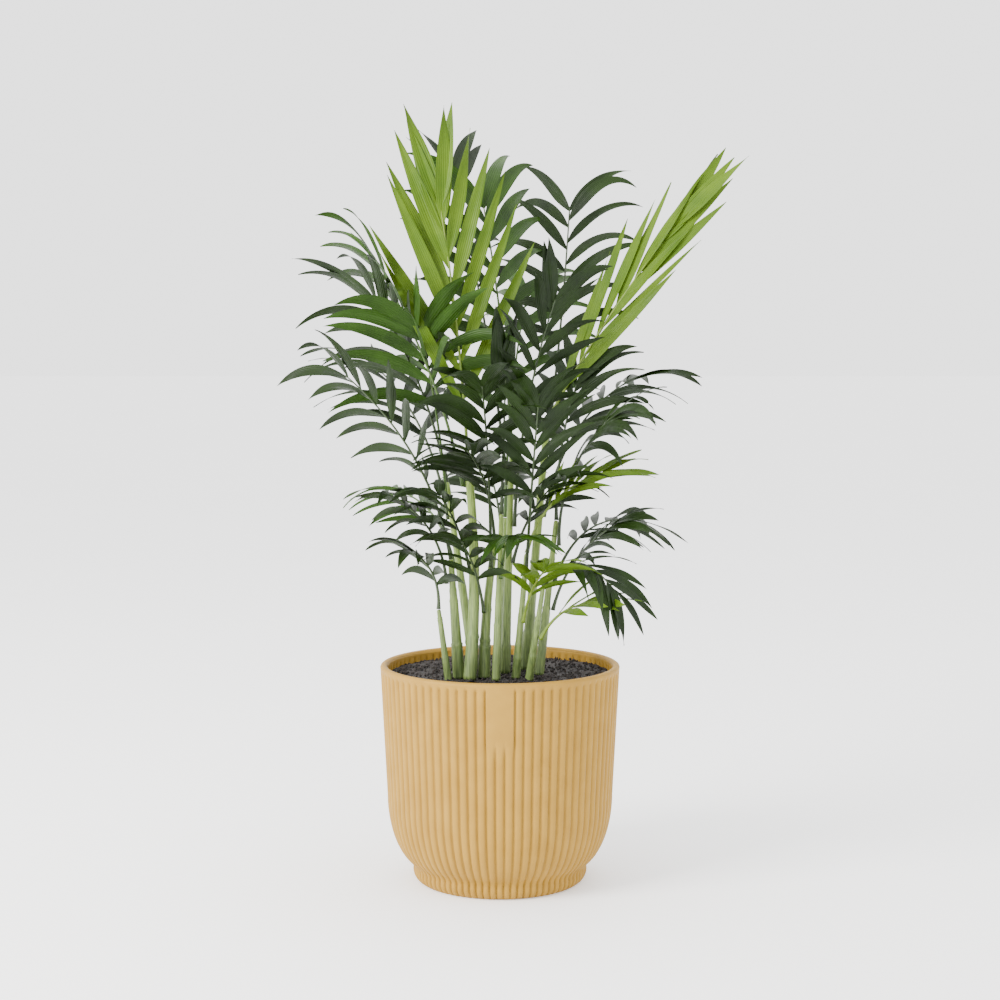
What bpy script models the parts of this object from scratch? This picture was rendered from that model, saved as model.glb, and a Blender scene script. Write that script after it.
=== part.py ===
"""Potted parlor palm: slender canes with feather fronds, in a round reeded pot of soil.

Metres, +Z up. The origin is the middle of the pot's flat underside, and the front is towards -Y.
The rows of CANES and FRONDS give the plant's driving sizes in millimetres and degrees.
"""

import math
import random
from collections import namedtuple

import bmesh
import bpy
import numpy as np
from mathutils.bvhtree import BVHTree

MM = 0.001
GAP = 0.0003
UP = np.array((0.0, 0.0, 1.0))

# Pot
POT_HEIGHT = 0.168
RIM_RADIUS = 0.092
RIM_BAND = 0.004
RIM_ROUND = 0.0012
WALL = 0.0055
TAPER_RADIUS = 0.0868
TAPER_END = 0.0672
NECK_RADIUS = 0.0698
NECK_HEIGHT = 0.0158
BELLY_SWEEP = 1.148
BELLY_ROWS = 3
LIP_RADIUS = 0.0672
LIP_HEIGHT = 0.0085
FOOT_RADIUS = 0.0603
FLOOR_THICKNESS = 0.006
FLOOR_CORNER = 0.012
RIB_COUNT = 80
GROOVE_DEPTH = 0.0011
PANEL_RIBS = 3
PANEL_END = 0.120
PANEL_STEP = 0.002
FRONT = -math.pi / 2
SOIL_LEVEL = 0.160
SOIL_STEPS = 32

# Plant
SEED = 400
CANE_SIDES = 2
CANE_POINTS = 4
CANE_FOOT_RUN = 0.004
RIB_POINTS = 4
RIB_FOOT_RADIUS = 0.0015
RIB_TIP_RADIUS = 0.0006
LEAF_STATIONS = (0.0, 0.45, 1.0)
LAST_ROOT = 0.985
SLIVERS = (0.00004, 0.00002, 0.00001, 0.000001, 0.0)
LEAF_THICKNESS = 0.014
LEAF_MIN_THICKNESS = 0.0010
CLEARANCE = 0.00045
SWINGS = (
    (0, 0), (7, 0), (-7, 0), (0, 10), (0, -10), (14, 0), (-14, 0), (0, 20), (0, -20), (22, 0), (-22, 0),
)

# How far the leaflets differ from each other: degrees, and shares of a frond's own size
ANGLE_SHAKE = 5
LIFT_RANGE = (-12, 16)
LENGTH_RANGE = (0.92, 1.06)
WIDTH_RANGE = (0.92, 1.08)
DROOP_RANGE = (0.6, 1.5)
TWIST_RANGE = (-16, 16)
LEAST_FULLNESS = 0.80
FOOT_WIDTH = 0.78
WIDTH_GAIN = 0.26
ROOT_PINCH = 0.88

Cane = namedtuple("Cane", "foot top foot_radius top_radius bow")
Frond = namedtuple("Frond", "cane at reach arch bare pairs leaf width spread taper droop roll tone")

CANES = {
    "cane_bright": Cane((-23, -28), (-24, -22, 322), 4.6, 3.2, (4, 0)),
    "cane_left": Cane((-31, -20), (-37, -25, 251), 4.4, 2.6, (0, 0)),
    "cane_low_left": Cane((-39, -30), (-46, -34, 214), 2.6, 1.8, (0, 0)),
    "cane_thick": Cane((-12, -20), (-4, -18, 261), 4.6, 3.0, (-2, 0)),
    "cane_middle": Cane((-3, -32), (1, -34, 286), 3.0, 2.0, (0, 0)),
    "cane_centre": Cane((4, 0), (9, 2, 332), 3.8, 2.2, (0, 0)),
    "cane_right": Cane((12, -22), (20, -32, 256), 3.2, 2.2, (0, 0)),
    "cane_low_right": Cane((22, -30), (32, -44, 232), 3.0, 2.0, (0, 0)),
    "cane_far_right": Cane((30, -8), (43, 0, 278), 3.4, 2.2, (0, 0)),
    "cane_tall": Cane((20, 16), (36, 14, 352), 4.2, 2.8, (0, 0)),
    "cane_back_left": Cane((-20, 16), (-41, 18, 306), 3.8, 2.4, (0, 0)),
    "cane_back": Cane((2, 32), (4, 46, 276), 3.6, 2.2, (0, 0)),
}

FRONDS = {
    "frond_top_fan": Frond(
        "cane_bright", 1.0, (-21, 10, 195), 3, 0.18, 6, 148, 12, (26, 12), 0.36, 0.05, -65, "bright"),
    "frond_spear": Frond(
        "cane_tall", 1.0, (97, 14, 148), 4, 0.10, 6, 132, 11, (15, 6), 0.25, 0.05, 40, "bright"),
    "frond_left_high": Frond(
        "cane_bright", 0.90, (-66, 14, 168), 8, 0.44, 6, 88, 9, (56, 28), 0.1, 0.8, 30, "mid"),
    "frond_left_broad": Frond(
        "cane_back_left", 0.90, (-18, -34, 132), 4, 0.50, 4, 90, 11, (64, 40), 0.1, 0.8, 20, "mid"),
    "frond_left_mid": Frond(
        "cane_back_left", 1.0, (-54, -18, 140), 8, 0.30, 6, 84, 9, (56, 26), 0.0, 0.9, 30, "dark"),
    "frond_left_low": Frond(
        "cane_left", 1.0, (-78, -6, 138), 14, 0.36, 6, 68, 9, (58, 30), 0.0, 0.8, 30, "dark"),
    "frond_low_left_a": Frond(
        "cane_left", 0.80, (-36, -22, 66), 10, 0.40, 5, 42, 7, (60, 30), 0.0, 1.0, 10, "dark"),
    "frond_low_left_b": Frond(
        "cane_low_left", 1.0, (-18, -16, 44), 8, 0.30, 4, 46, 8, (62, 34), 0.0, 0.9, -10, "dark"),
    "frond_upper_right": Frond(
        "cane_tall", 0.86, (20, 60, 196), -6, 0.46, 6, 72, 9, (64, 34), 0.0, 0.9, 0, "dark"),
    "frond_top_centre": Frond(
        "cane_centre", 1.0, (-22, 40, 188), 6, 0.40, 6, 84, 11, (60, 30), 0.0, 0.6, 0, "mid"),
    "frond_top_back": Frond(
        "cane_centre", 0.84, (-44, 66, 246), 8, 0.55, 4, 62, 10, (58, 30), 0.0, 0.5, 10, "dark"),
    "frond_young": Frond(
        "cane_middle", 1.0, (3, -4, 100), 0, 0.80, 1, 62, 17, (14, 10), 0.0, 0.05, 6, "dark"),
    "frond_right_mid": Frond(
        "cane_far_right", 1.0, (16, 14, 104), 6, 0.52, 4, 70, 9, (62, 30), 0.0, 0.7, 15, "dark"),
    "frond_right_arch": Frond(
        "cane_far_right", 0.84, (38, -16, 98), 12, 0.40, 6, 64, 8, (50, 26), 0.0, 1.1, 25, "dark"),
    "frond_right_bright": Frond(
        "cane_right", 1.0, (58, 8, 60), 12, 0.40, 6, 52, 8, (40, 20), 0.0, 0.4, 20, "bright"),
    "frond_right_low": Frond(
        "cane_low_right", 1.0, (50, -28, 2), 18, 0.34, 5, 52, 8, (56, 28), 0.0, 0.8, 14, "dark"),
    "frond_right_foot": Frond(
        "cane_low_right", 0.45, (34, -22, 30), 6, 0.40, 3, 50, 9, (42, 20), 0.0, 0.3, 20, "bright"),
    "frond_front": Frond(
        "cane_thick", 1.0, (-20, -50, 74), 12, 0.36, 6, 60, 9, (58, 28), 0.0, 0.8, 0, "dark"),
    "frond_front_low": Frond(
        "cane_middle", 0.62, (12, -48, 36), 12, 0.34, 5, 48, 8, (58, 28), 0.0, 0.8, 0, "mid"),
    "frond_front_high": Frond(
        "cane_thick", 0.84, (-6, -60, 138), 14, 0.44, 6, 62, 10, (56, 28), 0.0, 0.8, 0, "dark"),
    "frond_low_front": Frond(
        "cane_right", 0.46, (16, -38, 44), 6, 0.36, 4, 50, 9, (50, 26), 0.0, 0.5, 0, "bright"),
    "frond_low_thick": Frond(
        "cane_thick", 0.50, (-16, -38, 58), 6, 0.36, 4, 50, 8, (56, 28), 0.0, 0.9, 0, "dark"),
    "frond_low_centre": Frond(
        "cane_centre", 0.50, (30, -34, 62), 6, 0.40, 4, 52, 8, (56, 28), 0.0, 0.9, 0, "dark"),
    "frond_low_bright": Frond(
        "cane_bright", 0.50, (-22, -40, 62), 6, 0.40, 4, 48, 8, (56, 28), 0.0, 0.9, 0, "dark"),
    "frond_low_far": Frond(
        "cane_far_right", 0.42, (46, -6, 66), 8, 0.36, 4, 54, 8, (56, 28), 0.0, 0.9, 10, "dark"),
    "frond_centre_mid": Frond(
        "cane_right", 0.84, (8, -44, 128), 2, 0.44, 6, 60, 9, (50, 24), 0.0, 0.5, 0, "dark"),
    "frond_centre_up": Frond(
        "cane_centre", 0.66, (30, -24, 172), 8, 0.46, 6, 66, 10, (54, 26), 0.0, 0.6, -15, "dark"),
    "frond_back_high": Frond(
        "cane_back", 1.0, (18, 74, 176), 16, 0.40, 5, 80, 10, (58, 28), 0.0, 0.8, 0, "mid"),
    "frond_back_left": Frond(
        "cane_back_left", 0.80, (-62, 62, 120), 16, 0.42, 5, 76, 10, (58, 28), 0.0, 0.9, 0, "dark"),
    "frond_back_right": Frond(
        "cane_tall", 0.62, (70, 64, 104), 18, 0.40, 5, 74, 10, (58, 28), 0.0, 0.9, 0, "dark"),
    "frond_back_low": Frond(
        "cane_back", 0.72, (-14, 76, 66), 16, 0.36, 5, 62, 9, (58, 28), 0.0, 0.9, 0, "dark"),
    "frond_back_low_left": Frond(
        "cane_back_left", 0.55, (-48, 44, 56), 14, 0.36, 5, 56, 8, (58, 28), 0.0, 0.9, 0, "mid"),
    "frond_back_low_right": Frond(
        "cane_far_right", 0.60, (60, 44, 44), 16, 0.36, 5, 58, 8, (58, 28), 0.0, 0.9, 0, "dark"),
}

COLOURS = {
    "pot": (0.56, 0.39, 0.18),
    "soil": (0.02, 0.014, 0.01),
    "cane": (0.27, 0.36, 0.09),
    "bright": (0.16, 0.27, 0.03),
    "mid": (0.06, 0.14, 0.02),
    "dark": (0.02, 0.05, 0.01),
}


def unit(vector):
    """The vector at length one."""
    return vector / np.linalg.norm(vector)


def turn(vector, axis, degrees):
    """The vector turned about a unit axis."""
    angle = math.radians(degrees)
    across = np.cross(axis, vector)
    along = axis * np.dot(axis, vector)
    return vector * math.cos(angle) + across * math.sin(angle) + along * (1 - math.cos(angle))


def bow_curve(start, middle, end, share):
    """Point and direction on the curve that leaves start for middle and arrives at end."""
    point = (1 - share) ** 2 * start + 2 * share * (1 - share) * middle + share ** 2 * end
    direction = (1 - share) * (middle - start) + share * (end - middle)
    return point, unit(direction)


def cane_curve(cane, share):
    """Point and direction on a cane's axis, from its foot at the soil to its top."""
    foot = np.array((cane.foot[0] * MM, cane.foot[1] * MM, SOIL_LEVEL + GAP))
    top = np.array(cane.top) * MM
    bow = np.array((cane.bow[0], cane.bow[1], 0)) * MM
    return bow_curve(foot, (foot + top) / 2 + 2 * bow, top, share)


def cane_radius(cane, share):
    """A cane's radius, with its true taper."""
    return (cane.foot_radius + (cane.top_radius - cane.foot_radius) * share) * MM


def frond_lift(frond):
    """How far a frond's rib arches above the straight line to its tip."""
    reach = np.array(frond.reach) * MM
    side = unit(np.cross(reach, UP))
    return np.cross(side, unit(reach)) * frond.arch * MM


def frond_foot(frond):
    """Where a frond's stalk starts, just clear of the cane that carries it."""
    cane = CANES[frond.cane]
    point, direction = cane_curve(cane, frond.at)
    if frond.at == 1.0:
        start = unit(np.array(frond.reach) * MM / 2 + 2 * frond_lift(frond))
        lean = np.linalg.norm(np.cross(start, direction))
        return point + direction * (GAP + RIB_FOOT_RADIUS * lean)
    outward = unit(np.array((frond.reach[0], frond.reach[1], 0.0)))
    return point + outward * (cane_radius(cane, frond.at) + RIB_FOOT_RADIUS + 2 * GAP)


def frond_curve(frond, share):
    """Point and direction on a frond's rib, which arches above the straight line to its tip."""
    foot = frond_foot(frond)
    reach = np.array(frond.reach) * MM
    return bow_curve(foot, foot + reach / 2 + 2 * frond_lift(frond), foot + reach, share)


def frond_axes(frond, direction):
    """The frond's sideways and upward directions at a place where its rib runs in direction."""
    across = unit(np.cross(np.array(frond.reach, float), UP))
    across = turn(unit(across - direction * np.dot(across, direction)), direction, frond.roll)
    return across, np.cross(across, direction)


def leaflets(frond, seed):
    """Root, direction, blade axes, length, width and droop of each leaflet of a frond."""
    draw = random.Random(seed)
    for step in range(2 * frond.pairs + 2):
        side = 1 if step % 2 else -1
        along = min(1.0, (step // 2 + 0.25 + 0.3 * (step % 2)) / frond.pairs)
        root, direction = frond_curve(frond, frond.bare + (LAST_ROOT - frond.bare) * along)
        across, over = frond_axes(frond, direction)
        angle = frond.spread[0] + (frond.spread[1] - frond.spread[0]) * along
        angle += draw.uniform(-ANGLE_SHAKE, ANGLE_SHAKE)
        lift = draw.uniform(*LIFT_RANGE)
        fullness = LEAST_FULLNESS + (1 - LEAST_FULLNESS) * math.sin(math.pi * (0.12 + 0.75 * along))
        length = frond.leaf * fullness * (1 - frond.taper * along) * draw.uniform(*LENGTH_RANGE) * MM
        width = frond.width * (FOOT_WIDTH + WIDTH_GAIN * along) * draw.uniform(*WIDTH_RANGE) * MM
        droop = frond.droop * draw.uniform(*DROOP_RANGE)
        twist = draw.uniform(*TWIST_RANGE)
        way = turn(direction, over, -side * angle)
        way = turn(way, direction, side * lift)
        yield root, way, turn(over, way, twist), length, width, droop


def leaf_width(width, share):
    """A leaflet's width at a share of its length: narrow root, full middle, long thin point."""
    root = 1 - ROOT_PINCH * (1 - min(share / 0.35, 1)) ** 2
    point = 1 - (max(share - 0.4, 0) / 0.6) ** 1.7
    return width * root * point


def leaf_spine(root, way, length, droop, stations):
    """Points and directions along a leaflet that bends down under its own weight."""
    point = root
    points = [root]
    ways = [way]
    for before, after in zip(stations, stations[1:]):
        middle = (before + after) / 2
        bent = unit(way - UP * droop * middle ** 1.5)
        point = point + bent * length * (after - before)
        points.append(point)
        ways.append(unit(way - UP * droop * after ** 1.5))
    return points, ways


def leaf_solid(leaflet, swing, extra):
    """Corners and faces of one leaflet: a thin blade with a keel, grown by extra on all sides."""
    root, way, over, length, width, droop = leaflet
    way = turn(way, over, swing[0])
    way = turn(way, unit(np.cross(way, over)), swing[1])
    points, ways = leaf_spine(root, way, length, droop, LEAF_STATIONS)
    depth = max(LEAF_MIN_THICKNESS, LEAF_THICKNESS * length)
    corners = []
    for share, point, heading in zip(LEAF_STATIONS[:-1], points, ways):
        across = unit(np.cross(heading, over))
        normal = np.cross(across, heading)
        half = leaf_width(width, share) / 2 + extra
        top = normal * (depth / 2 + extra)
        corners += [point - across * half + top, point + across * half + top]
        corners.append(point - normal * (depth / 2 + extra))
    corners.append(points[-1] + ways[-1] * extra)
    faces = [(2, 1, 0)]
    rows = len(LEAF_STATIONS) - 1
    for row in range(rows - 1):
        for side in range(3):
            a = 3 * row + side
            b = 3 * row + (side + 1) % 3
            faces.append((a, b, b + 3, a + 3))
    last = 3 * (rows - 1)
    for side in range(3):
        faces.append((last + side, last + (side + 1) % 3, last + 3))
    return corners, faces


def clear_scene():
    """Remove the objects of the open scene."""
    for item in list(bpy.data.objects):
        bpy.data.objects.remove(item)


def material(name, tone, roughness):
    """A plain Principled material of the named tone."""
    made = bpy.data.materials.new(name)
    made.use_nodes = True
    shader = made.node_tree.nodes["Principled BSDF"]
    shader.inputs["Base Color"].default_value = (*COLOURS[tone], 1)
    shader.inputs["Roughness"].default_value = roughness
    shader.inputs["Metallic"].default_value = 0
    return made


def mesh_object(name, corners, faces, edges=()):
    """A new object from corners and faces, not yet in a collection."""
    mesh = bpy.data.meshes.new(name)
    mesh.from_pydata([tuple(corner) for corner in corners], list(edges), faces)
    mesh.update()
    return bpy.data.objects.new(name, mesh)


def applied(item, name):
    """A new object that holds the item's evaluated mesh. The item is removed."""
    bpy.context.view_layer.update()
    graph = bpy.context.evaluated_depsgraph_get()
    mesh = bpy.data.meshes.new_from_object(item.evaluated_get(graph))
    mesh.transform(item.matrix_world)
    bpy.data.objects.remove(item)
    mesh.name = name
    return bpy.data.objects.new(name, mesh)


def turned(name, profile, steps):
    """A turned solid from a profile of radius and height pairs, as a mesh object."""
    edges = [(i, i + 1) for i in range(len(profile) - 1)]
    item = mesh_object(name + "_profile", [(r, 0, z) for r, z in profile], [], edges)
    bpy.context.scene.collection.objects.link(item)
    screw = item.modifiers.new("turn", "SCREW")
    screw.steps = steps
    screw.render_steps = steps
    screw.use_merge_vertices = True
    screw.merge_threshold = 0.00001
    return applied(item, name)


def tube(name, points, radii, resolution):
    """A tapered tube with closed ends along the points, as a mesh object."""
    curve = bpy.data.curves.new(name, "CURVE")
    curve.dimensions = "3D"
    curve.bevel_depth = 1
    curve.bevel_resolution = resolution
    curve.use_fill_caps = True
    spline = curve.splines.new("POLY")
    spline.points.add(len(points) - 1)
    for spot, point, radius in zip(spline.points, points, radii):
        spot.co = (*point, 1)
        spot.radius = radius
    item = bpy.data.objects.new(name + "_curve", curve)
    bpy.context.scene.collection.objects.link(item)
    made = applied(item, name)
    weld(made.data)
    return made


def weld(mesh):
    """Join coincident corners and point the faces outwards."""
    work = bmesh.new()
    work.from_mesh(mesh)
    bmesh.ops.remove_doubles(work, verts=work.verts, dist=0.000001)
    bmesh.ops.recalc_face_normals(work, faces=work.faces)
    work.to_mesh(mesh)
    work.free()


def outer_profile():
    """The pot's outer side from the rim's edge down to the foot."""
    rows = [(RIM_RADIUS - RIM_ROUND, POT_HEIGHT), (RIM_RADIUS, POT_HEIGHT - RIM_ROUND)]
    rows.append((RIM_RADIUS, POT_HEIGHT - RIM_BAND))
    slope = (RIM_RADIUS - TAPER_RADIUS) / (POT_HEIGHT - TAPER_END)
    for height in (PANEL_END + PANEL_STEP, PANEL_END):
        rows.append((TAPER_RADIUS + slope * (height - TAPER_END), height))
    for row in range(BELLY_ROWS + 1):
        angle = BELLY_SWEEP * row / BELLY_ROWS
        drop = math.sin(angle) / math.sin(BELLY_SWEEP)
        swell = (math.cos(angle) - math.cos(BELLY_SWEEP)) / (1 - math.cos(BELLY_SWEEP))
        height = TAPER_END - (TAPER_END - NECK_HEIGHT) * drop
        rows.append((NECK_RADIUS + (TAPER_RADIUS - NECK_RADIUS) * swell, height))
    rows.append((LIP_RADIUS, LIP_HEIGHT))
    rows.append((FOOT_RADIUS, 0))
    return rows


def inner_profile():
    """The pot's inner side from its floor up to the rim."""
    rows = [(radius - WALL, height) for radius, height in outer_profile()[2:-2]]
    rows = [rows[0], rows[3], rows[5]][::-1]
    floor_radius = rows[0][0] - FLOOR_CORNER
    top = (rows[-1][0], POT_HEIGHT - RIM_ROUND)
    return [(floor_radius, FLOOR_THICKNESS)] + rows[:-1] + [top, (top[0] + RIM_ROUND, POT_HEIGHT)]


def reeding(x, y, z):
    """How deep the outer wall lies below its crests here: narrow grooves between round ribs."""
    if z > POT_HEIGHT - RIM_BAND - 0.0005 or z < 0.0005:
        return 0.0
    turns = (math.atan2(y, x) - FRONT) / (2 * math.pi) * RIB_COUNT + 0.5
    from_front = abs((turns - 0.5 + RIB_COUNT / 2) % RIB_COUNT - RIB_COUNT / 2)
    if z > PANEL_END + PANEL_STEP / 2 and from_front < PANEL_RIBS / 2 - 0.2:
        return 0.0
    return GROOVE_DEPTH * (1 - abs(math.sin(math.pi * turns)))


def make_pot():
    """The reeded pot with its smooth rim, smooth front panel and flat underside."""
    profile = [(0, FLOOR_THICKNESS)] + inner_profile() + outer_profile() + [(0, 0)]
    pot = turned("pot", profile, 2 * RIB_COUNT)
    inner = dict((round(z, 5), r) for r, z in inner_profile())
    for corner in pot.data.vertices:
        x, y, z = corner.co
        radius = math.hypot(x, y)
        if radius > inner.get(round(z, 5), 0) + WALL / 2 and radius > FOOT_RADIUS / 2:
            shrink = 1 - reeding(x, y, z) / radius
            corner.co = (x * shrink, y * shrink, z)
    weld(pot.data)
    return pot


def make_soil():
    """The plug of potting soil that fills the pot to just below its rim."""
    rows = [(radius - 3 * GAP, height) for radius, height in inner_profile() if height < SOIL_LEVEL - 0.001]
    bottom = (rows[0][0] - GAP, FLOOR_THICKNESS + GAP)
    slope = (RIM_RADIUS - TAPER_RADIUS) / (POT_HEIGHT - TAPER_END)
    top_radius = rows[-1][0] + (SOIL_LEVEL - rows[-1][1]) * slope
    side = [bottom] + rows[1:] + [(top_radius, SOIL_LEVEL)]
    soil = turned("soil", [(0, SOIL_LEVEL)] + side[::-1] + [(0, bottom[1])], SOIL_STEPS)
    weld(soil.data)
    return soil


def make_cane(name, cane):
    """A cane from its flat cut at the soil to its top."""
    shares = np.linspace(0, 1, CANE_POINTS)
    points = [cane_curve(cane, share)[0] for share in shares]
    points.insert(1, points[0] + UP * CANE_FOOT_RUN)
    radii = [cane_radius(cane, share) for share in shares]
    radii.insert(1, radii[0])
    return tube(name, points, radii, CANE_SIDES)


def make_rib(name, frond, extra):
    """A frond's stalk and rib as one tapered tube, grown by extra."""
    shares = np.linspace(0, 1, RIB_POINTS)
    points = [frond_curve(frond, share)[0] for share in shares]
    radii = [RIB_FOOT_RADIUS + (RIB_TIP_RADIUS - RIB_FOOT_RADIUS) * share + extra for share in shares]
    return tube(name, points, radii, 0)


def shape_of(item):
    """An object's corners and faces as lists."""
    mesh = item.data
    return [corner.co[:] for corner in mesh.vertices], [tuple(face.vertices) for face in mesh.polygons]


def tree_of(shapes):
    """One search tree over several shapes."""
    corners = []
    faces = []
    for shape_corners, shape_faces in shapes:
        base = len(corners)
        corners += [tuple(corner) for corner in shape_corners]
        faces += [tuple(base + i for i in face) for face in shape_faces]
    return BVHTree.FromPolygons(corners, faces)


def grow_leaflets(frond, seed, others):
    """The frond's leaflet solids that keep clear of everything else."""
    kept = []
    tree = tree_of(others)
    for leaflet in leaflets(frond, seed):
        for swing in SWINGS:
            fat = tree_of([leaf_solid(leaflet, swing, CLEARANCE)])
            if not fat.overlap(tree):
                kept.append(leaf_solid(leaflet, swing, 0))
                break
    return kept


def joined(name, rib, blades):
    """One solid from the rib and its leaflets."""
    group = bpy.data.collections.new(name + "_leaflets")
    bpy.context.scene.collection.children.link(group)
    for number, (corners, faces) in enumerate(blades):
        blade = mesh_object(f"{name}_leaflet_{number}", corners, faces)
        group.objects.link(blade)
        weld(blade.data)
    made = None
    for solver in ("EXACT", "MANIFOLD"):
        if made is None:
            made = united(name, rib, group, solver)
    bpy.data.objects.remove(rib)
    for blade in list(group.objects):
        bpy.data.objects.remove(blade)
    bpy.data.collections.remove(group)
    made.name = name
    return made


def united(name, rib, group, solver):
    """The union of the rib with the leaflets of a collection, or None if it doesn't close."""
    body = rib.copy()
    bpy.context.scene.collection.objects.link(body)
    union = body.modifiers.new("join", "BOOLEAN")
    union.operation = "UNION"
    union.operand_type = "COLLECTION"
    union.collection = group
    union.solver = solver
    made = applied(body, name)
    if tidy(made.data):
        return made
    bpy.data.objects.remove(made)
    return None


def tidy(mesh):
    """Collapse slivers as far as the body stays closed, and keep the largest body."""
    for size in SLIVERS:
        work = bmesh.new()
        work.from_mesh(mesh)
        bmesh.ops.dissolve_degenerate(work, edges=work.edges, dist=size)
        keep = largest_body(work)
        loose = [face for face in work.faces if face not in keep]
        bmesh.ops.delete(work, geom=loose, context="FACES")
        closed = all(len(edge.link_faces) == 2 for edge in work.edges)
        if closed:
            work.to_mesh(mesh)
        work.free()
        if closed:
            return True
    return False


def largest_body(work):
    """The faces of the largest body whose faces are joined edge to edge."""
    left = set(work.faces)
    best = set()
    while left:
        body = set()
        front = [next(iter(left))]
        while front:
            face = front.pop()
            if face in body:
                continue
            body.add(face)
            front += [other for edge in face.edges for other in edge.link_faces]
        left -= body
        if len(body) > len(best):
            best = body
    return best


def finish(item, group, finish_material):
    """Give an object its material and put it in the plant's collection."""
    item.data.materials.clear()
    item.data.materials.append(finish_material)
    group.objects.link(item)


def main():
    """Build the potted palm."""
    clear_scene()
    group = bpy.data.collections.new("potted_parlor_palm")
    bpy.context.scene.collection.children.link(group)
    finish(make_pot(), group, material("pot", "pot", 0.6))
    finish(make_soil(), group, material("soil", "soil", 0.95))
    cane_material = material("cane", "cane", 0.5)
    greens = {tone: material("leaf_" + tone, tone, 0.45) for tone in ("bright", "mid", "dark")}
    canes = {name: make_cane(name, cane) for name, cane in CANES.items()}
    ribs = {name: make_rib(name, frond, 0) for name, frond in FRONDS.items()}
    fixed = {name: shape_of(item) for name, item in (canes | ribs).items()}
    report_clashes(fixed)
    for item in canes.values():
        item.data.shade_smooth()
        finish(item, group, cane_material)
    grown = {}
    for number, (name, frond) in enumerate(FRONDS.items()):
        others = [shape for owner, shape in fixed.items() if owner != name]
        others += [shape for owner, shapes in grown.items() for shape in shapes]
        grown[name] = grow_leaflets(frond, SEED + number, others)
        finish(joined(name, ribs[name], grown[name]), group, greens[frond.tone])


def report_clashes(shapes):
    """Stop if two stems or ribs touch, because their rows then need another place."""
    trees = {name: tree_of([shape]) for name, shape in shapes.items()}
    names = list(trees)
    touching = [(a, b) for i, a in enumerate(names) for b in names[i + 1:] if trees[a].overlap(trees[b])]
    if touching:
        raise ValueError(f"these touch: {touching}")


main()
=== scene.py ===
"""Looks of the potted parlor palm: fine fronds, canes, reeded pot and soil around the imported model.

Metres, +Z up. Rows in millimetres and degrees. The growth rule is the solids' own, carried to finer leaflets.
"""

import math
import random
from collections import namedtuple

import bpy
import numpy as np
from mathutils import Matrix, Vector, noise


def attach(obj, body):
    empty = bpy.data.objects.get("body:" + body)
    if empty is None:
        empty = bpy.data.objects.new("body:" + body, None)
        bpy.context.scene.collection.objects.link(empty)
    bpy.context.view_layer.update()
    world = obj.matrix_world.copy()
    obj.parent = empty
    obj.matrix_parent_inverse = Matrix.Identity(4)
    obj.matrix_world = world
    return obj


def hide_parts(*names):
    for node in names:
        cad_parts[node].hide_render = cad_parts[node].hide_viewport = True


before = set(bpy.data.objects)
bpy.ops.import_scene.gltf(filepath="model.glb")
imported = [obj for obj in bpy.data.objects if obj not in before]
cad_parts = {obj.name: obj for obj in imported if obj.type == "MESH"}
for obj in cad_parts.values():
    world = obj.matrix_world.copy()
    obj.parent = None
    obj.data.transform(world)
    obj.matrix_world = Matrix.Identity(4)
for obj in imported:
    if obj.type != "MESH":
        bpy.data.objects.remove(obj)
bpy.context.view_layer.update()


MM = 0.001
GAP = 0.0003
UP = np.array((0.0, 0.0, 1.0))

# Pot
POT_HEIGHT = 0.168
RIM_RADIUS = 0.092
RIM_BAND = 0.004
RIM_ROUND = 0.0012
WALL = 0.0055
TAPER_RADIUS = 0.0868
TAPER_END = 0.0672
NECK_RADIUS = 0.0698
NECK_HEIGHT = 0.0158
BELLY_SWEEP = 1.148
LIP_RADIUS = 0.0672
LIP_HEIGHT = 0.0085
FOOT_RADIUS = 0.0603
RIB_COUNT = 80
PANEL_RIBS = 3
PANEL_END = 0.120
FRONT = -math.pi / 2
SOIL_LEVEL = 0.160

# Plant
SEED = 400
RIB_FOOT_RADIUS = 0.0015
RIB_TIP_RADIUS = 0.0006
LAST_ROOT = 0.985

# How far the leaflets differ from each other: degrees, and shares of a frond's own size
ANGLE_SHAKE = 5
LIFT_RANGE = (-12, 16)
LENGTH_RANGE = (0.92, 1.06)
WIDTH_RANGE = (0.92, 1.08)
DROOP_RANGE = (0.6, 1.5)
TWIST_RANGE = (-16, 16)
LEAST_FULLNESS = 0.80
FOOT_WIDTH = 0.78
WIDTH_GAIN = 0.26
ROOT_PINCH = 0.88

# Fine looks
LEAF_ROWS = 20
LEAF_COLUMNS = 6
LEAF_EDGE = 0.0001
FOLD_RANGE = (0.16, 0.50)
CURL_RANGE = (-65, 65)
PLEAT = 0.00012
PLEATS = 3
RIPPLE = 0.0004
VEINS = 7
STALK_ROWS = 40
STALK_SIDES = 8
CANE_ROWS = 60
CANE_SIDES = 14
SHEATHS = 3
SHEATH_RANGE = (0.12, 0.95)
SHEATH_WRAP = 0.08
SHEATH_KNOT = 0.10
SHEATH_LENGTH = 0.012
CANE_CORE = 0.86
RIB_STEPS = 10
INNER_DEPTHS = (0.003, 0.0045, 0.0055, 0.0075, 0.012, 0.03)
RIM_STEPS = 6
TAPER_STEPS = 24
BELLY_STEPS = 28
FOOT_STEPS = 8
RIM_SOFT = 0.0022
COVE = 0.0012
RELIEF_DEPTH = 0.0024
INNER_RELIEF = 0.6
RELIEF_FADE = 0.0025
FOOT_FADE = 0.0015
PANEL_FADE = 0.004
SOIL_EDGE_GAP = 0.0012
SOIL_RINGS = 46
SOIL_STEPS = 180
CRUMBS = 1400
CRUMB_SIZES = (0.0005, 0.0017)
PAPER_GLOW = 0.35
POT_DARK = (0.30, 0.165, 0.020)
POT_PALE = (0.35, 0.198, 0.027)
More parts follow.
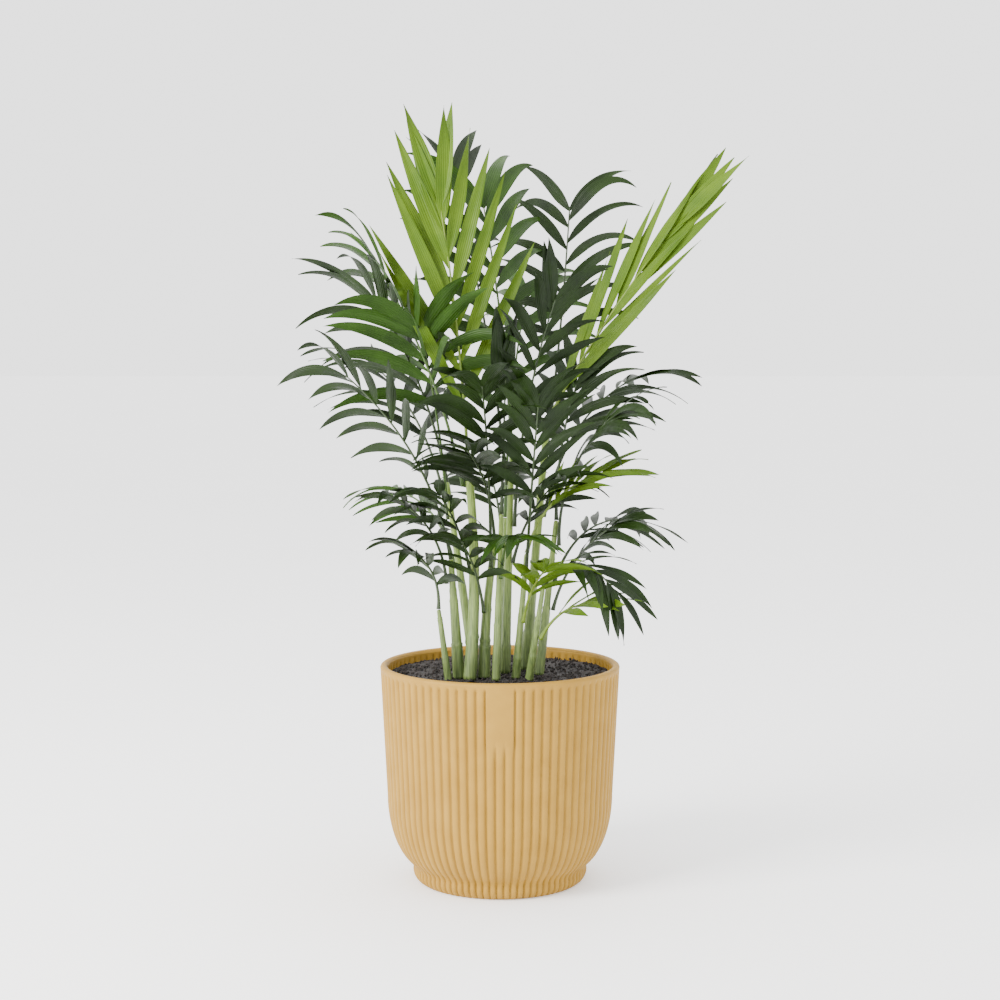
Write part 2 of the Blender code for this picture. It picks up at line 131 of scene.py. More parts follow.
# Each leaf colour set is a copy of the same leaf: low and high blotch colours and the paler vein colour. They
# hold the leaves' own green and mottle, with painted light on the bright copy, a little painted shade on the
# mid copy and deep painted shade on the dark copy.
LIT_AND_SHADED_LEAF_TONES = {
    "bright": ((0.038, 0.085, 0.002), (0.070, 0.130, 0.004), (0.15, 0.21, 0.015)),
    "mid": ((0.010, 0.031, 0.0015), (0.022, 0.060, 0.003), (0.05, 0.095, 0.010)),
    "dark": ((0.0035, 0.010, 0.001), (0.009, 0.024, 0.0015), (0.022, 0.042, 0.005)),
}

# Studio
FLOOR_SIZE = 40
WORLD_STRENGTH = 2.5
KEY_POWER = 90
FILL_POWER = 0.5
TOP_POWER = 8
CAMERA_DISTANCE = 1.4856
CAMERA_HEIGHT = 0.4172
CAMERA_DIP = 4.747
CAMERA_LENS = 70.23

Cane = namedtuple("Cane", "foot top foot_radius top_radius bow")
# A frond's last column picks the bright, mid or dark copy of the leaf colours: painted light and shade over
# the whole frond.
Frond = namedtuple("Frond", "cane at reach arch bare pairs leaf width spread taper droop roll tone")

CANES = {
    "cane_bright": Cane((-23, -28), (-24, -22, 322), 4.6, 3.2, (4, 0)),
    "cane_left": Cane((-31, -20), (-37, -25, 251), 4.4, 2.6, (0, 0)),
    "cane_low_left": Cane((-39, -30), (-46, -34, 214), 2.6, 1.8, (0, 0)),
    "cane_thick": Cane((-12, -20), (-4, -18, 261), 4.6, 3.0, (-2, 0)),
    "cane_middle": Cane((-3, -32), (1, -34, 286), 3.0, 2.0, (0, 0)),
    "cane_centre": Cane((4, 0), (9, 2, 332), 3.8, 2.2, (0, 0)),
    "cane_right": Cane((12, -22), (20, -32, 256), 3.2, 2.2, (0, 0)),
    "cane_low_right": Cane((22, -30), (32, -44, 232), 3.0, 2.0, (0, 0)),
    "cane_far_right": Cane((30, -8), (43, 0, 278), 3.4, 2.2, (0, 0)),
    "cane_tall": Cane((20, 16), (36, 14, 352), 4.2, 2.8, (0, 0)),
    "cane_back_left": Cane((-20, 16), (-41, 18, 306), 3.8, 2.4, (0, 0)),
    "cane_back": Cane((2, 32), (4, 46, 276), 3.6, 2.2, (0, 0)),
}

FRONDS = {
    "frond_top_fan": Frond(
        "cane_bright", 1.0, (-21, 10, 195), 3, 0.18, 6, 148, 12, (26, 12), 0.36, 0.05, -65, "bright"),
    "frond_spear": Frond(
        "cane_tall", 1.0, (97, 14, 148), 4, 0.10, 6, 132, 11, (15, 6), 0.25, 0.05, 40, "bright"),
    "frond_left_high": Frond(
        "cane_bright", 0.90, (-66, 14, 168), 8, 0.44, 6, 88, 9, (56, 28), 0.1, 0.8, 30, "mid"),
    "frond_left_broad": Frond(
        "cane_back_left", 0.90, (-18, -34, 132), 4, 0.50, 4, 90, 11, (64, 40), 0.1, 0.8, 20, "mid"),
    "frond_left_mid": Frond(
        "cane_back_left", 1.0, (-54, -18, 140), 8, 0.30, 6, 84, 9, (56, 26), 0.0, 0.9, 30, "dark"),
    "frond_left_low": Frond(
        "cane_left", 1.0, (-78, -6, 138), 14, 0.36, 6, 68, 9, (58, 30), 0.0, 0.8, 30, "dark"),
    "frond_low_left_a": Frond(
        "cane_left", 0.80, (-36, -22, 66), 10, 0.40, 5, 42, 7, (60, 30), 0.0, 1.0, 10, "dark"),
    "frond_low_left_b": Frond(
        "cane_low_left", 1.0, (-18, -16, 44), 8, 0.30, 4, 46, 8, (62, 34), 0.0, 0.9, -10, "dark"),
    "frond_upper_right": Frond(
        "cane_tall", 0.86, (20, 60, 196), -6, 0.46, 6, 72, 9, (64, 34), 0.0, 0.9, 0, "dark"),
    "frond_top_centre": Frond(
        "cane_centre", 1.0, (-22, 40, 188), 6, 0.40, 6, 84, 11, (60, 30), 0.0, 0.6, 0, "mid"),
    "frond_top_back": Frond(
        "cane_centre", 0.84, (-44, 66, 246), 8, 0.55, 4, 62, 10, (58, 30), 0.0, 0.5, 10, "dark"),
    "frond_young": Frond(
        "cane_middle", 1.0, (3, -4, 100), 0, 0.80, 1, 62, 17, (14, 10), 0.0, 0.05, 6, "dark"),
    "frond_right_mid": Frond(
        "cane_far_right", 1.0, (16, 14, 104), 6, 0.52, 4, 70, 9, (62, 30), 0.0, 0.7, 15, "dark"),
    "frond_right_arch": Frond(
        "cane_far_right", 0.84, (38, -16, 98), 12, 0.40, 6, 64, 8, (50, 26), 0.0, 1.1, 25, "dark"),
    "frond_right_bright": Frond(
        "cane_right", 1.0, (58, 8, 60), 12, 0.40, 6, 52, 8, (40, 20), 0.0, 0.4, 20, "bright"),
    "frond_right_low": Frond(
        "cane_low_right", 1.0, (50, -28, 2), 18, 0.34, 5, 52, 8, (56, 28), 0.0, 0.8, 14, "dark"),
    "frond_right_foot": Frond(
        "cane_low_right", 0.45, (34, -22, 30), 6, 0.40, 3, 50, 9, (42, 20), 0.0, 0.3, 20, "bright"),
    "frond_front": Frond(
        "cane_thick", 1.0, (-20, -50, 74), 12, 0.36, 6, 60, 9, (58, 28), 0.0, 0.8, 0, "dark"),
    "frond_front_low": Frond(
        "cane_middle", 0.62, (12, -48, 36), 12, 0.34, 5, 48, 8, (58, 28), 0.0, 0.8, 0, "mid"),
    "frond_front_high": Frond(
        "cane_thick", 0.84, (-6, -60, 138), 14, 0.44, 6, 62, 10, (56, 28), 0.0, 0.8, 0, "dark"),
    "frond_low_front": Frond(
        "cane_right", 0.46, (16, -38, 44), 6, 0.36, 4, 50, 9, (50, 26), 0.0, 0.5, 0, "bright"),
    "frond_low_thick": Frond(
        "cane_thick", 0.50, (-16, -38, 58), 6, 0.36, 4, 50, 8, (56, 28), 0.0, 0.9, 0, "dark"),
    "frond_low_centre": Frond(
        "cane_centre", 0.50, (30, -34, 62), 6, 0.40, 4, 52, 8, (56, 28), 0.0, 0.9, 0, "dark"),
    "frond_low_bright": Frond(
        "cane_bright", 0.50, (-22, -40, 62), 6, 0.40, 4, 48, 8, (56, 28), 0.0, 0.9, 0, "dark"),
    "frond_low_far": Frond(
        "cane_far_right", 0.42, (46, -6, 66), 8, 0.36, 4, 54, 8, (56, 28), 0.0, 0.9, 10, "dark"),
    "frond_centre_mid": Frond(
        "cane_right", 0.84, (8, -44, 128), 2, 0.44, 6, 60, 9, (50, 24), 0.0, 0.5, 0, "dark"),
    "frond_centre_up": Frond(
        "cane_centre", 0.66, (30, -24, 172), 8, 0.46, 6, 66, 10, (54, 26), 0.0, 0.6, -15, "dark"),
    "frond_back_high": Frond(
        "cane_back", 1.0, (18, 74, 176), 16, 0.40, 5, 80, 10, (58, 28), 0.0, 0.8, 0, "mid"),
    "frond_back_left": Frond(
        "cane_back_left", 0.80, (-62, 62, 120), 16, 0.42, 5, 76, 10, (58, 28), 0.0, 0.9, 0, "dark"),
    "frond_back_right": Frond(
        "cane_tall", 0.62, (70, 64, 104), 18, 0.40, 5, 74, 10, (58, 28), 0.0, 0.9, 0, "dark"),
    "frond_back_low": Frond(
        "cane_back", 0.72, (-14, 76, 66), 16, 0.36, 5, 62, 9, (58, 28), 0.0, 0.9, 0, "dark"),
    "frond_back_low_left": Frond(
        "cane_back_left", 0.55, (-48, 44, 56), 14, 0.36, 5, 56, 8, (58, 28), 0.0, 0.9, 0, "mid"),
    "frond_back_low_right": Frond(
        "cane_far_right", 0.60, (60, 44, 44), 16, 0.36, 5, 58, 8, (58, 28), 0.0, 0.9, 0, "dark"),
}


def unit(vector):
    """The vector at length one."""
    return vector / np.linalg.norm(vector)


def turn(vector, axis, degrees):
    """The vector turned about a unit axis."""
    angle = math.radians(degrees)
    across = np.cross(axis, vector)
    along = axis * np.dot(axis, vector)
    return vector * math.cos(angle) + across * math.sin(angle) + along * (1 - math.cos(angle))


def bow_curve(start, middle, end, share):
    """Point and direction on the curve that leaves start for middle and arrives at end."""
    point = (1 - share) ** 2 * start + 2 * share * (1 - share) * middle + share ** 2 * end
    direction = (1 - share) * (middle - start) + share * (end - middle)
    return point, unit(direction)


def cane_curve(cane, share):
    """Point and direction on a cane's axis, from its foot at the soil to its top."""
    foot = np.array((cane.foot[0] * MM, cane.foot[1] * MM, SOIL_LEVEL + GAP))
    top = np.array(cane.top) * MM
    bow = np.array((cane.bow[0], cane.bow[1], 0)) * MM
    return bow_curve(foot, (foot + top) / 2 + 2 * bow, top, share)


def cane_radius(cane, share):
    """A cane's radius, with its true taper."""
    return (cane.foot_radius + (cane.top_radius - cane.foot_radius) * share) * MM


def frond_lift(frond):
    """How far a frond's rib arches above the straight line to its tip."""
    reach = np.array(frond.reach) * MM
    side = unit(np.cross(reach, UP))
    return np.cross(side, unit(reach)) * frond.arch * MM


def frond_foot(frond):
    """Where a frond's stalk starts, just clear of the cane that carries it."""
    cane = CANES[frond.cane]
    point, direction = cane_curve(cane, frond.at)
    if frond.at == 1.0:
        start = unit(np.array(frond.reach) * MM / 2 + 2 * frond_lift(frond))
        lean = np.linalg.norm(np.cross(start, direction))
        return point + direction * (GAP + RIB_FOOT_RADIUS * lean)
    outward = unit(np.array((frond.reach[0], frond.reach[1], 0.0)))
    return point + outward * (cane_radius(cane, frond.at) + RIB_FOOT_RADIUS + 2 * GAP)


def frond_curve(frond, share):
    """Point and direction on a frond's rib, which arches above the straight line to its tip."""
    foot = frond_foot(frond)
    reach = np.array(frond.reach) * MM
    return bow_curve(foot, foot + reach / 2 + 2 * frond_lift(frond), foot + reach, share)


def frond_axes(frond, direction):
    """The frond's sideways and upward directions at a place where its rib runs in direction."""
    across = unit(np.cross(np.array(frond.reach, float), UP))
    across = turn(unit(across - direction * np.dot(across, direction)), direction, frond.roll)
    return across, np.cross(across, direction)


def leaflets(frond, seed):
    """Root, direction, blade axes, length, width and droop of each leaflet of a frond."""
    draw = random.Random(seed)
    for step in range(2 * frond.pairs + 2):
        side = 1 if step % 2 else -1
        along = min(1.0, (step // 2 + 0.25 + 0.3 * (step % 2)) / frond.pairs)
        root, direction = frond_curve(frond, frond.bare + (LAST_ROOT - frond.bare) * along)
        across, over = frond_axes(frond, direction)
        angle = frond.spread[0] + (frond.spread[1] - frond.spread[0]) * along
        angle += draw.uniform(-ANGLE_SHAKE, ANGLE_SHAKE)
        lift = draw.uniform(*LIFT_RANGE)
        fullness = LEAST_FULLNESS + (1 - LEAST_FULLNESS) * math.sin(math.pi * (0.12 + 0.75 * along))
        length = frond.leaf * fullness * (1 - frond.taper * along) * draw.uniform(*LENGTH_RANGE) * MM
        width = frond.width * (FOOT_WIDTH + WIDTH_GAIN * along) * draw.uniform(*WIDTH_RANGE) * MM
        droop = frond.droop * draw.uniform(*DROOP_RANGE)
        twist = draw.uniform(*TWIST_RANGE)
        way = turn(direction, over, -side * angle)
        way = turn(way, direction, side * lift)
        yield root, way, turn(over, way, twist), length, width, droop


def leaf_width(width, share):
    """A leaflet's width at a share of its length: narrow root, full middle, long thin point."""
    root = 1 - ROOT_PINCH * (1 - min(share / 0.35, 1)) ** 2
    point = 1 - (max(share - 0.4, 0) / 0.6) ** 1.7
    return width * root * point


def leaf_spine(root, way, length, droop, stations):
    """Points and directions along a leaflet that bends down under its own weight."""
    point = root
    points = [root]
    ways = [way]
    for before, after in zip(stations, stations[1:]):
        middle = (before + after) / 2
        bent = unit(way - UP * droop * middle ** 1.5)
        point = point + bent * length * (after - before)
        points.append(point)
        ways.append(unit(way - UP * droop * after ** 1.5))
    return points, ways


def leaf_sheet(leaflet, draw):
    """Corners and faces of one fine leaflet: a pleated blade, a little folded, curled and wavy."""
    root, way, over, length, width, droop = leaflet
    stations = [row / LEAF_ROWS for row in range(LEAF_ROWS + 1)]
    points, ways = leaf_spine(root, way, length, droop, stations)
    fold = draw.uniform(*FOLD_RANGE)
    curl = draw.uniform(*CURL_RANGE)
    wave = draw.uniform(0, 2 * math.pi)
    corners = []
    for share, point, heading in zip(stations, points, ways):
        across = unit(np.cross(heading, over))
        across = turn(across, heading, curl * share ** 2)
        normal = np.cross(across, heading)
        half = leaf_width(width, share) / 2 + LEAF_EDGE
        for column in range(LEAF_COLUMNS + 1):
            place = 2 * column / LEAF_COLUMNS - 1
            pleat = PLEAT * math.cos(math.pi * PLEATS * place) * min(1, 4 * (1 - share))
            ripple = RIPPLE * abs(place) * math.sin(wave + 9 * share + 2 * place)
            rise = fold * half * abs(place) * (1 - 0.6 * share) + pleat + ripple
            corners.append(point + across * half * place + normal * rise)
    faces = []
    for row in range(LEAF_ROWS):
        for column in range(LEAF_COLUMNS):
            a = row * (LEAF_COLUMNS + 1) + column
            faces.append((a, a + 1, a + LEAF_COLUMNS + 2, a + LEAF_COLUMNS + 1))
    return corners, faces


def ring_tube(points, ways, radii, sides):
    """Corners and faces of a smooth tube with closed ends along the points."""
    corners = []
    side = unit(np.cross(ways[0], np.array((0.3, 1.0, 0.1))))
    for point, way, radius in zip(points, ways, radii):
        side = unit(side - way * np.dot(side, way))
        other = np.cross(way, side)
        for step in range(sides):
            angle = 2 * math.pi * step / sides
            corners.append(point + (side * math.cos(angle) + other * math.sin(angle)) * radius)
    faces = [tuple(range(sides))[::-1], tuple(range(len(corners) - sides, len(corners)))]
    for row in range(len(points) - 1):
        for step in range(sides):
            a = row * sides + step
            b = row * sides + (step + 1) % sides
            faces.append((a, b, b + sides, a + sides))
    return corners, faces


def joined_mesh(name, shapes, finish, grid=None):
    """One smooth object from many shapes, with the given material."""
    corners = []
    faces = []
    for shape_corners, shape_faces in shapes:
        base = len(corners)
        corners += [tuple(corner) for corner in shape_corners]
        faces += [tuple(base + i for i in face) for face in shape_faces]
    mesh = bpy.data.meshes.new(name)
    mesh.from_pydata(corners, [], faces)
    mesh.update()
    mesh.shade_smooth()
    mesh.materials.append(finish)
    if grid:
        lay_grid(mesh, *grid)
    item = bpy.data.objects.new(name, mesh)
    bpy.context.scene.collection.objects.link(item)
    return item


def lay_grid(mesh, columns, rows):
    """Give each blade a UV square: across the blade, then along it."""
    layer = mesh.uv_layers.new(name="blade")
    size = (columns + 1) * (rows + 1)
    for loop in mesh.loops:
        place = loop.vertex_index % size
        layer.data[loop.index].uv = (place % (columns + 1) / columns, place // (columns + 1) / rows)


class Nodes:
    """A material's node tree, with short calls to add and join nodes."""

    def __init__(self, name):
        self.material = bpy.data.materials.new(name)
        self.material.use_nodes = True
        self.tree = self.material.node_tree
        self.shader = self.tree.nodes["Principled BSDF"]

    def add(self, kind, **values):
        """Add a node and set its inputs by name; a node's output may stand in for a number."""
        node = self.tree.nodes.new(kind)
        for name, value in values.items():
            self.put(node, name.replace("_", " "), value)
        return node

    def put(self, node, name, value):
        """Set or link one input."""
        if isinstance(value, bpy.types.NodeSocket):
            self.tree.links.new(value, node.inputs[name])
        else:
            node.inputs[name].default_value = value

    def noise(self, scale, detail=4.0, vector=None):
        """Noise in object space."""
        place = vector or self.add("ShaderNodeTexCoord").outputs["Object"]
        return self.add("ShaderNodeTexNoise", Vector=place, Scale=scale, Detail=detail).outputs["Fac"]

    def ramp(self, factor, low, high, start=0.3, end=0.7):
        """A colour ramp between two colours."""
        node = self.add("ShaderNodeValToRGB", Fac=factor)
        node.color_ramp.elements[0].position = start
        node.color_ramp.elements[0].color = (*low, 1)
        node.color_ramp.elements[1].position = end
        node.color_ramp.elements[1].color = (*high, 1)
        return node.outputs["Color"]

    def mixed(self, factor, low, high):
        """A mix of two colours."""
        node = self.tree.nodes.new("ShaderNodeMix")
        node.data_type = "RGBA"
        self.tree.links.new(factor, node.inputs["Factor"])
        self.put(node, 6, low if isinstance(low, bpy.types.NodeSocket) else (*low, 1))
        self.put(node, 7, high if isinstance(high, bpy.types.NodeSocket) else (*high, 1))
        return node.outputs[2]

    def bump(self, height, strength, distance):
        """A bump on the shader's normal."""
        node = self.add("ShaderNodeBump", Height=height, Strength=strength, Distance=distance)
        self.put(self.shader, "Normal", node.outputs["Normal"])


def leaf_material(tone):
    """Satin leaf with soft blotches, and fine parallel veins that are a little paler, in a bright, mid or
    dark copy: painted light and painted shade.
    """
    low, high, pale = LIT_AND_SHADED_LEAF_TONES[tone]
    made = Nodes("leaf_" + tone)
    place = made.add("ShaderNodeUVMap").outputs["UV"]
    split = made.add("ShaderNodeSeparateXYZ", Vector=place)
    blotch = made.ramp(made.noise(38.0, 3.0), low, high, 0.32, 0.68)
    veins = made.tree.nodes.new("ShaderNodeMath")
    veins.operation = "SINE"
    turns = made.tree.nodes.new("ShaderNodeMath")
    turns.operation = "MULTIPLY"
    turns.inputs[1].default_value = 2 * math.pi * VEINS
    made.tree.links.new(split.outputs["X"], turns.inputs[0])
    made.tree.links.new(turns.outputs[0], veins.inputs[0])
    streak = made.ramp(veins.outputs[0], (0, 0, 0), (0.22, 0.22, 0.22), 0.4, 1.0)
    made.put(made.shader, "Base Color", made.mixed(streak, blotch, pale))
    made.put(made.shader, "Roughness", made.ramp(made.noise(120.0), (0.36,) * 3, (0.52,) * 3))
    made.put(made.shader, "Specular IOR Level", 0.16)
    made.bump(veins.outputs[0], 0.35, 0.0003)
    return made.material


def cane_material():
    """Pale green cane, darker and greyer near the soil, with fine lengthwise fibres."""
    made = Nodes("cane")
    place = made.add("ShaderNodeTexCoord").outputs["Object"]
    height = made.add("ShaderNodeSeparateXYZ", Vector=place).outputs["Z"]
    share = made.add("ShaderNodeMapRange", Value=height)
    share.inputs["From Min"].default_value = SOIL_LEVEL
    share.inputs["From Max"].default_value = SOIL_LEVEL + 0.15
    long_way = made.add("ShaderNodeMapping", Vector=place)
    long_way.inputs["Scale"].default_value = (1, 1, 0.06)
    fibre = made.noise(900.0, 5.0, long_way.outputs["Vector"])
    lower = made.ramp(fibre, (0.035, 0.06, 0.015), (0.13, 0.18, 0.05))
    upper = made.ramp(fibre, (0.09, 0.16, 0.015), (0.27, 0.38, 0.07))
    made.put(made.shader, "Base Color", made.mixed(share.outputs["Result"], lower, upper))
    made.put(made.shader, "Roughness", made.ramp(made.noise(200.0), (0.38,) * 3, (0.55,) * 3))
    made.bump(fibre, 0.3, 0.0004)
    return made.material


def pot_material():
    """Sand-yellow moulded plastic with a faint mottle and a fine matt grain."""
    made = Nodes("pot_plastic")
    made.put(made.shader, "Base Color", made.ramp(made.noise(60.0), POT_DARK, POT_PALE, 0.25, 0.75))
    made.put(made.shader, "Roughness", made.ramp(made.noise(500.0), (0.5,) * 3, (0.62,) * 3))
    made.put(made.shader, "Specular IOR Level", 0.2)
    made.bump(made.noise(2600.0, 3.0), 0.12, 0.0002)
    return made.material


def soil_material():
    """Dark crumbly potting soil with brown fibres and a few pale specks."""
    made = Nodes("soil_crumbs")
    crumbs = made.ramp(made.noise(420.0, 8.0), (0.002, 0.0015, 0.001), (0.020, 0.010, 0.006), 0.35, 0.75)
    specks = made.ramp(made.noise(1500.0, 2.0), (0, 0, 0), (1, 1, 1), 0.70, 0.76)
    made.put(made.shader, "Base Color", made.mixed(specks, crumbs, (0.14, 0.09, 0.06)))
    made.put(made.shader, "Roughness", made.ramp(made.noise(300.0), (0.7,) * 3, (0.95,) * 3))
    made.bump(made.noise(900.0, 8.0), 0.9, 0.0015)
    return made.material


def wall_rows():
    """The pot's section from below the soil's surface, over the rim, to the edge of its underside."""
    inner = [(RIM_RADIUS - WALL, POT_HEIGHT - RIM_ROUND)]
    slope = (RIM_RADIUS - TAPER_RADIUS) / (POT_HEIGHT - TAPER_END)
    for depth in INNER_DEPTHS:
        inner.append((RIM_RADIUS - WALL - slope * depth, POT_HEIGHT - depth))
    rows = inner[::-1]
    middle = RIM_RADIUS - WALL / 2
    for step in range(RIM_STEPS + 1):
        angle = math.pi * (1 - step / RIM_STEPS)
        rows.append((middle + WALL / 2 * math.cos(angle), POT_HEIGHT - RIM_SOFT + RIM_SOFT * math.sin(angle)))
    for step in range(1, TAPER_STEPS):
        depth = RIM_SOFT + (POT_HEIGHT - TAPER_END - RIM_SOFT) * (step / TAPER_STEPS) ** 1.5
        rows.append((RIM_RADIUS - slope * depth, POT_HEIGHT - depth))
    for step in range(BELLY_STEPS + 1):
        angle = BELLY_SWEEP * step / BELLY_STEPS
        drop = math.sin(angle) / math.sin(BELLY_SWEEP)
        swell = (math.cos(angle) - math.cos(BELLY_SWEEP)) / (1 - math.cos(BELLY_SWEEP))
        height = TAPER_END - (TAPER_END - NECK_HEIGHT) * drop
        rows.append((NECK_RADIUS + (TAPER_RADIUS - NECK_RADIUS) * swell, height))
    for step in range(1, FOOT_STEPS + 1):
        share = step / FOOT_STEPS
        hollow = COVE * math.sin(math.pi * share)
        height = NECK_HEIGHT + (LIP_HEIGHT - NECK_HEIGHT) * share
        rows.append((NECK_RADIUS + (LIP_RADIUS - NECK_RADIUS) * share - hollow, height))
    for step in range(1, FOOT_STEPS + 1):
        angle = math.pi / 2 * step / FOOT_STEPS
        radius = FOOT_RADIUS + (LIP_RADIUS - FOOT_RADIUS) * math.cos(angle) ** 1.1
        rows.append((radius, LIP_HEIGHT * (1 - math.sin(angle))))
    return rows, len(inner)


def rib_depth(angle, height, inside):
    """How far the wall lies below the crests of its ribs at an angle and height."""
    turns = (angle - FRONT) / (2 * math.pi) * RIB_COUNT
    place = abs(2 * ((turns + 0.5) % 1) - 1)
    groove = RELIEF_DEPTH * (place ** 3)
    fade = min(1, max(0, (POT_HEIGHT - RIM_BAND - height) / RELIEF_FADE))
    fade *= min(1, max(0, height / FOOT_FADE))
    from_front = abs((turns + RIB_COUNT / 2) % RIB_COUNT - RIB_COUNT / 2)
    if not inside and from_front < PANEL_RIBS / 2:
        fade *= min(1, max(0, (PANEL_END - height) / PANEL_FADE))
    return groove * fade


def make_pot():
    """The moulded pot with rounded ribs inside and out, a smooth rim and a smooth front panel."""
    rows, inner_count = wall_rows()
    steps = RIB_COUNT * RIB_STEPS
    corners = []
    for number, (radius, height) in enumerate(rows):
        inside = number < inner_count
        for step in range(steps):
            angle = FRONT + 2 * math.pi * step / steps
            depth = rib_depth(angle, height, inside)
            reach = radius + INNER_RELIEF * depth if inside else radius - depth
            corners.append((reach * math.cos(angle), reach * math.sin(angle), height))
    faces = []
    for row in range(len(rows) - 1):
        for step in range(steps):
            a = row * steps + step
            b = row * steps + (step + 1) % steps
            faces.append((a + steps, b + steps, b, a))
    corners += [(0, 0, rows[0][1] - 0.001), (0, 0, 0)]
    last = (len(rows) - 1) * steps
    for step in range(steps):
        faces.append((step, (step + 1) % steps, len(corners) - 2))
        faces.append((last + (step + 1) % steps, last + step, len(corners) - 1))
    return joined_mesh("pot_shell", [(corners, faces)], pot_material())


def make_soil():
    """The uneven surface of the soil, up to the pot's wall, with loose crumbs on it."""
    draw = random.Random(SEED + 900)
    edge = RIM_RADIUS - WALL - SOIL_EDGE_GAP
    corners = []
    for ring in range(SOIL_RINGS + 1):
        radius = edge * ring / SOIL_RINGS
        for step in range(SOIL_STEPS):
            angle = 2 * math.pi * step / SOIL_STEPS
            x, y = radius * math.cos(angle), radius * math.sin(angle)
            lump = noise.noise((x * 90, y * 90, 0)) * 0.0016 + noise.noise((x * 420, y * 420, 3)) * 0.0009
            corners.append((x, y, SOIL_LEVEL + lump - 0.0002))
    faces = []
    for ring in range(SOIL_RINGS):
        for step in range(SOIL_STEPS):
            a = ring * SOIL_STEPS + step
            b = ring * SOIL_STEPS + (step + 1) % SOIL_STEPS
            faces.append((a, a + SOIL_STEPS, b + SOIL_STEPS, b))
    shapes = [(corners, faces)]
    for _ in range(CRUMBS):
        radius = edge * math.sqrt(draw.random()) * 0.985
        angle = draw.uniform(0, 2 * math.pi)
        shapes.append(crumb(radius * math.cos(angle), radius * math.sin(angle), draw))
    return joined_mesh("soil_surface", shapes, soil_material())


def crumb(x, y, draw):
    """One loose crumb of soil: a lopsided eight-sided grain."""
    size = draw.uniform(*CRUMB_SIZES)
    middle = np.array((x, y, SOIL_LEVEL + size * 0.5))
    corners = []
    for axis in range(3):
        for sign in (-1, 1):
            arm = np.zeros(3)
            arm[axis] = sign * size * draw.uniform(0.6, 1.2)
            corners.append(middle + arm)
    faces = []
    for i in (0, 1):
        for j in (2, 3):
            for k in (4, 5):
                face = (i, j, k)
                faces.append(face if (i + j + k) % 2 else face[::-1])
    return corners, faces


def cane_shape(cane, draw):
    """A cane with its sheaths, each a little wider than what it wraps, ending in a swollen ring."""
    rings = sorted(draw.uniform(*SHEATH_RANGE) for _ in range(SHEATHS))
    points = []
    ways = []
    radii = []
    for row in range(CANE_ROWS + 1):
        share = row / CANE_ROWS
        point, way = cane_curve(cane, share)
        radius = cane_radius(cane, share)
        wrap = sum(SHEATH_WRAP for ring in rings if share < ring)
        knot = sum(SHEATH_KNOT * math.exp(-((share - ring) / SHEATH_LENGTH) ** 2) for ring in rings)
        points.append(point)
        ways.append(way)
        radii.append(radius * (CANE_CORE + wrap + knot))
    radii[-1] *= 0.75
    return ring_tube(points, ways, radii, CANE_SIDES)


def rib_shape(frond):
    """A frond's stalk and rib, a little swollen where it leaves the cane."""
    points = []
    ways = []
    radii = []
    for row in range(STALK_ROWS + 1):
        share = row / STALK_ROWS
        point, way = frond_curve(frond, share)
        points.append(point)
        ways.append(way)
        swell = 1 + 0.35 * math.exp(-share / 0.05)
        radii.append((RIB_FOOT_RADIUS + (RIB_TIP_RADIUS - RIB_FOOT_RADIUS) * share) * 0.9 * swell)
    return ring_tube(points, ways, radii, STALK_SIDES)


def dress(piece, slot, *nodes):
    """Put a piece on the plant's body in place of the solids it stands for."""
    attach(piece, "root")
    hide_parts(*nodes)


def make_plant():
    """All canes, stalks and leaflets."""
    draw = random.Random(SEED + 800)
    canes = [cane_shape(cane, draw) for cane in CANES.values()]
    dress(joined_mesh("canes", canes, cane_material()), "cane", *CANES)
    # The fronds go in groups by their painted light and shade: bright, mid and dark copies of the leaf and
    # stalk colours.
    for tone in LIT_AND_SHADED_LEAF_TONES:
        names = [name for name, frond in FRONDS.items() if frond.tone == tone]
        sheets = []
        for number, (name, frond) in enumerate(FRONDS.items()):
            if name in names:
                fine = random.Random(SEED + 500 + number)
                sheets += [leaf_sheet(leaflet, fine) for leaflet in leaflets(frond, SEED + number)]
        finish = leaf_material(tone)
        blades = joined_mesh("leaves_" + tone, sheets, finish, (LEAF_COLUMNS, LEAF_ROWS))
        dress(blades, "leaf_" + tone, *names)
        ribs = [rib_shape(FRONDS[name]) for name in names]
        stalks = joined_mesh("stalks_" + tone, ribs, stalk_material(tone))
        dress(stalks, "leaf_" + tone, *names)


def stalk_material(tone):
    """The fronds' stalks: green, a little paler than their leaflets, with the same painted light and shade as
    their frond's leaflets.
    """
    low, high, pale = LIT_AND_SHADED_LEAF_TONES[tone]
    made = Nodes("stalk_" + tone)
    made.put(made.shader, "Base Color", made.ramp(made.noise(150.0), high, pale))
    made.put(made.shader, "Roughness", made.ramp(made.noise(300.0), (0.4,) * 3, (0.55,) * 3))
    return made.material


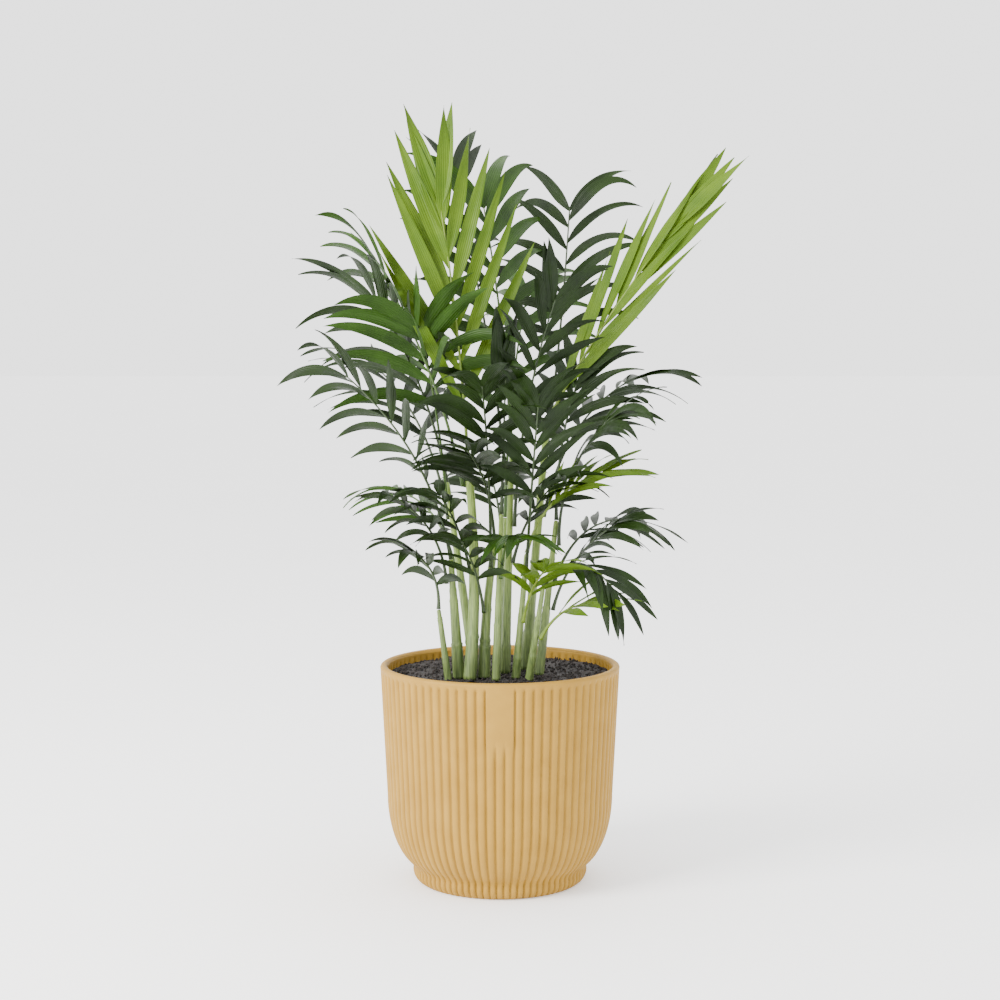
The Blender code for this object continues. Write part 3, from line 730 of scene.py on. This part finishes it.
def area_light(name, place, aim, size, power, colour):
    """A soft square light at a place, turned to a point."""
    light = bpy.data.lights.new(name, "AREA")
    light.shape = "SQUARE"
    light.size = size
    light.energy = power
    light.color = colour
    item = bpy.data.objects.new(name, light)
    item.location = place
    item.rotation_euler = (Vector(aim) - Vector(place)).to_track_quat("-Z", "Y").to_euler()
    bpy.context.scene.collection.objects.link(item)


def make_studio():
    """White paper floor, soft light from the front left, and the camera at the photo's angle."""
    bpy.ops.mesh.primitive_plane_add(size=FLOOR_SIZE, location=(0, 0, 0))
    floor = bpy.context.object
    floor.name = "floor"
    paper = Nodes("floor_paper")
    paper.put(paper.shader, "Base Color", paper.ramp(paper.noise(2.0), (0.90,) * 3, (0.92,) * 3))
    paper.shader.inputs["Roughness"].default_value = 0.9
    paper.shader.inputs["Emission Color"].default_value = (1, 1, 1, 1)
    paper.shader.inputs["Emission Strength"].default_value = PAPER_GLOW
    floor.data.materials.append(paper.material)
    world = bpy.data.worlds.new("studio")
    world.use_nodes = True
    world.node_tree.nodes["Background"].inputs["Color"].default_value = (1, 1, 1, 1)
    world.node_tree.nodes["Background"].inputs["Strength"].default_value = WORLD_STRENGTH
    bpy.context.scene.world = world
    area_light("key", (-1.5, -1.1, 1.2), (0, 0, 0.25), 0.9, KEY_POWER, (1.0, 0.98, 0.95))
    area_light("fill", (1.4, -1.0, 0.9), (0, 0, 0.25), 1.2, FILL_POWER, (1.0, 1.0, 1.0))
    area_light("top", (0.1, 0.6, 1.8), (0, 0, 0.3), 1.0, TOP_POWER, (1.0, 1.0, 1.0))
    camera = bpy.data.cameras.new("camera")
    camera.lens = CAMERA_LENS
    camera.sensor_width = 36
    item = bpy.data.objects.new("camera", camera)
    item.location = (0, -CAMERA_DISTANCE, CAMERA_HEIGHT)
    item.rotation_euler = (math.radians(90 - CAMERA_DIP), 0, 0)
    bpy.context.scene.collection.objects.link(item)
    bpy.context.scene.camera = item


make_studio()
dress(make_pot(), "pot", "pot")
dress(make_soil(), "soil", "soil")
make_plant()
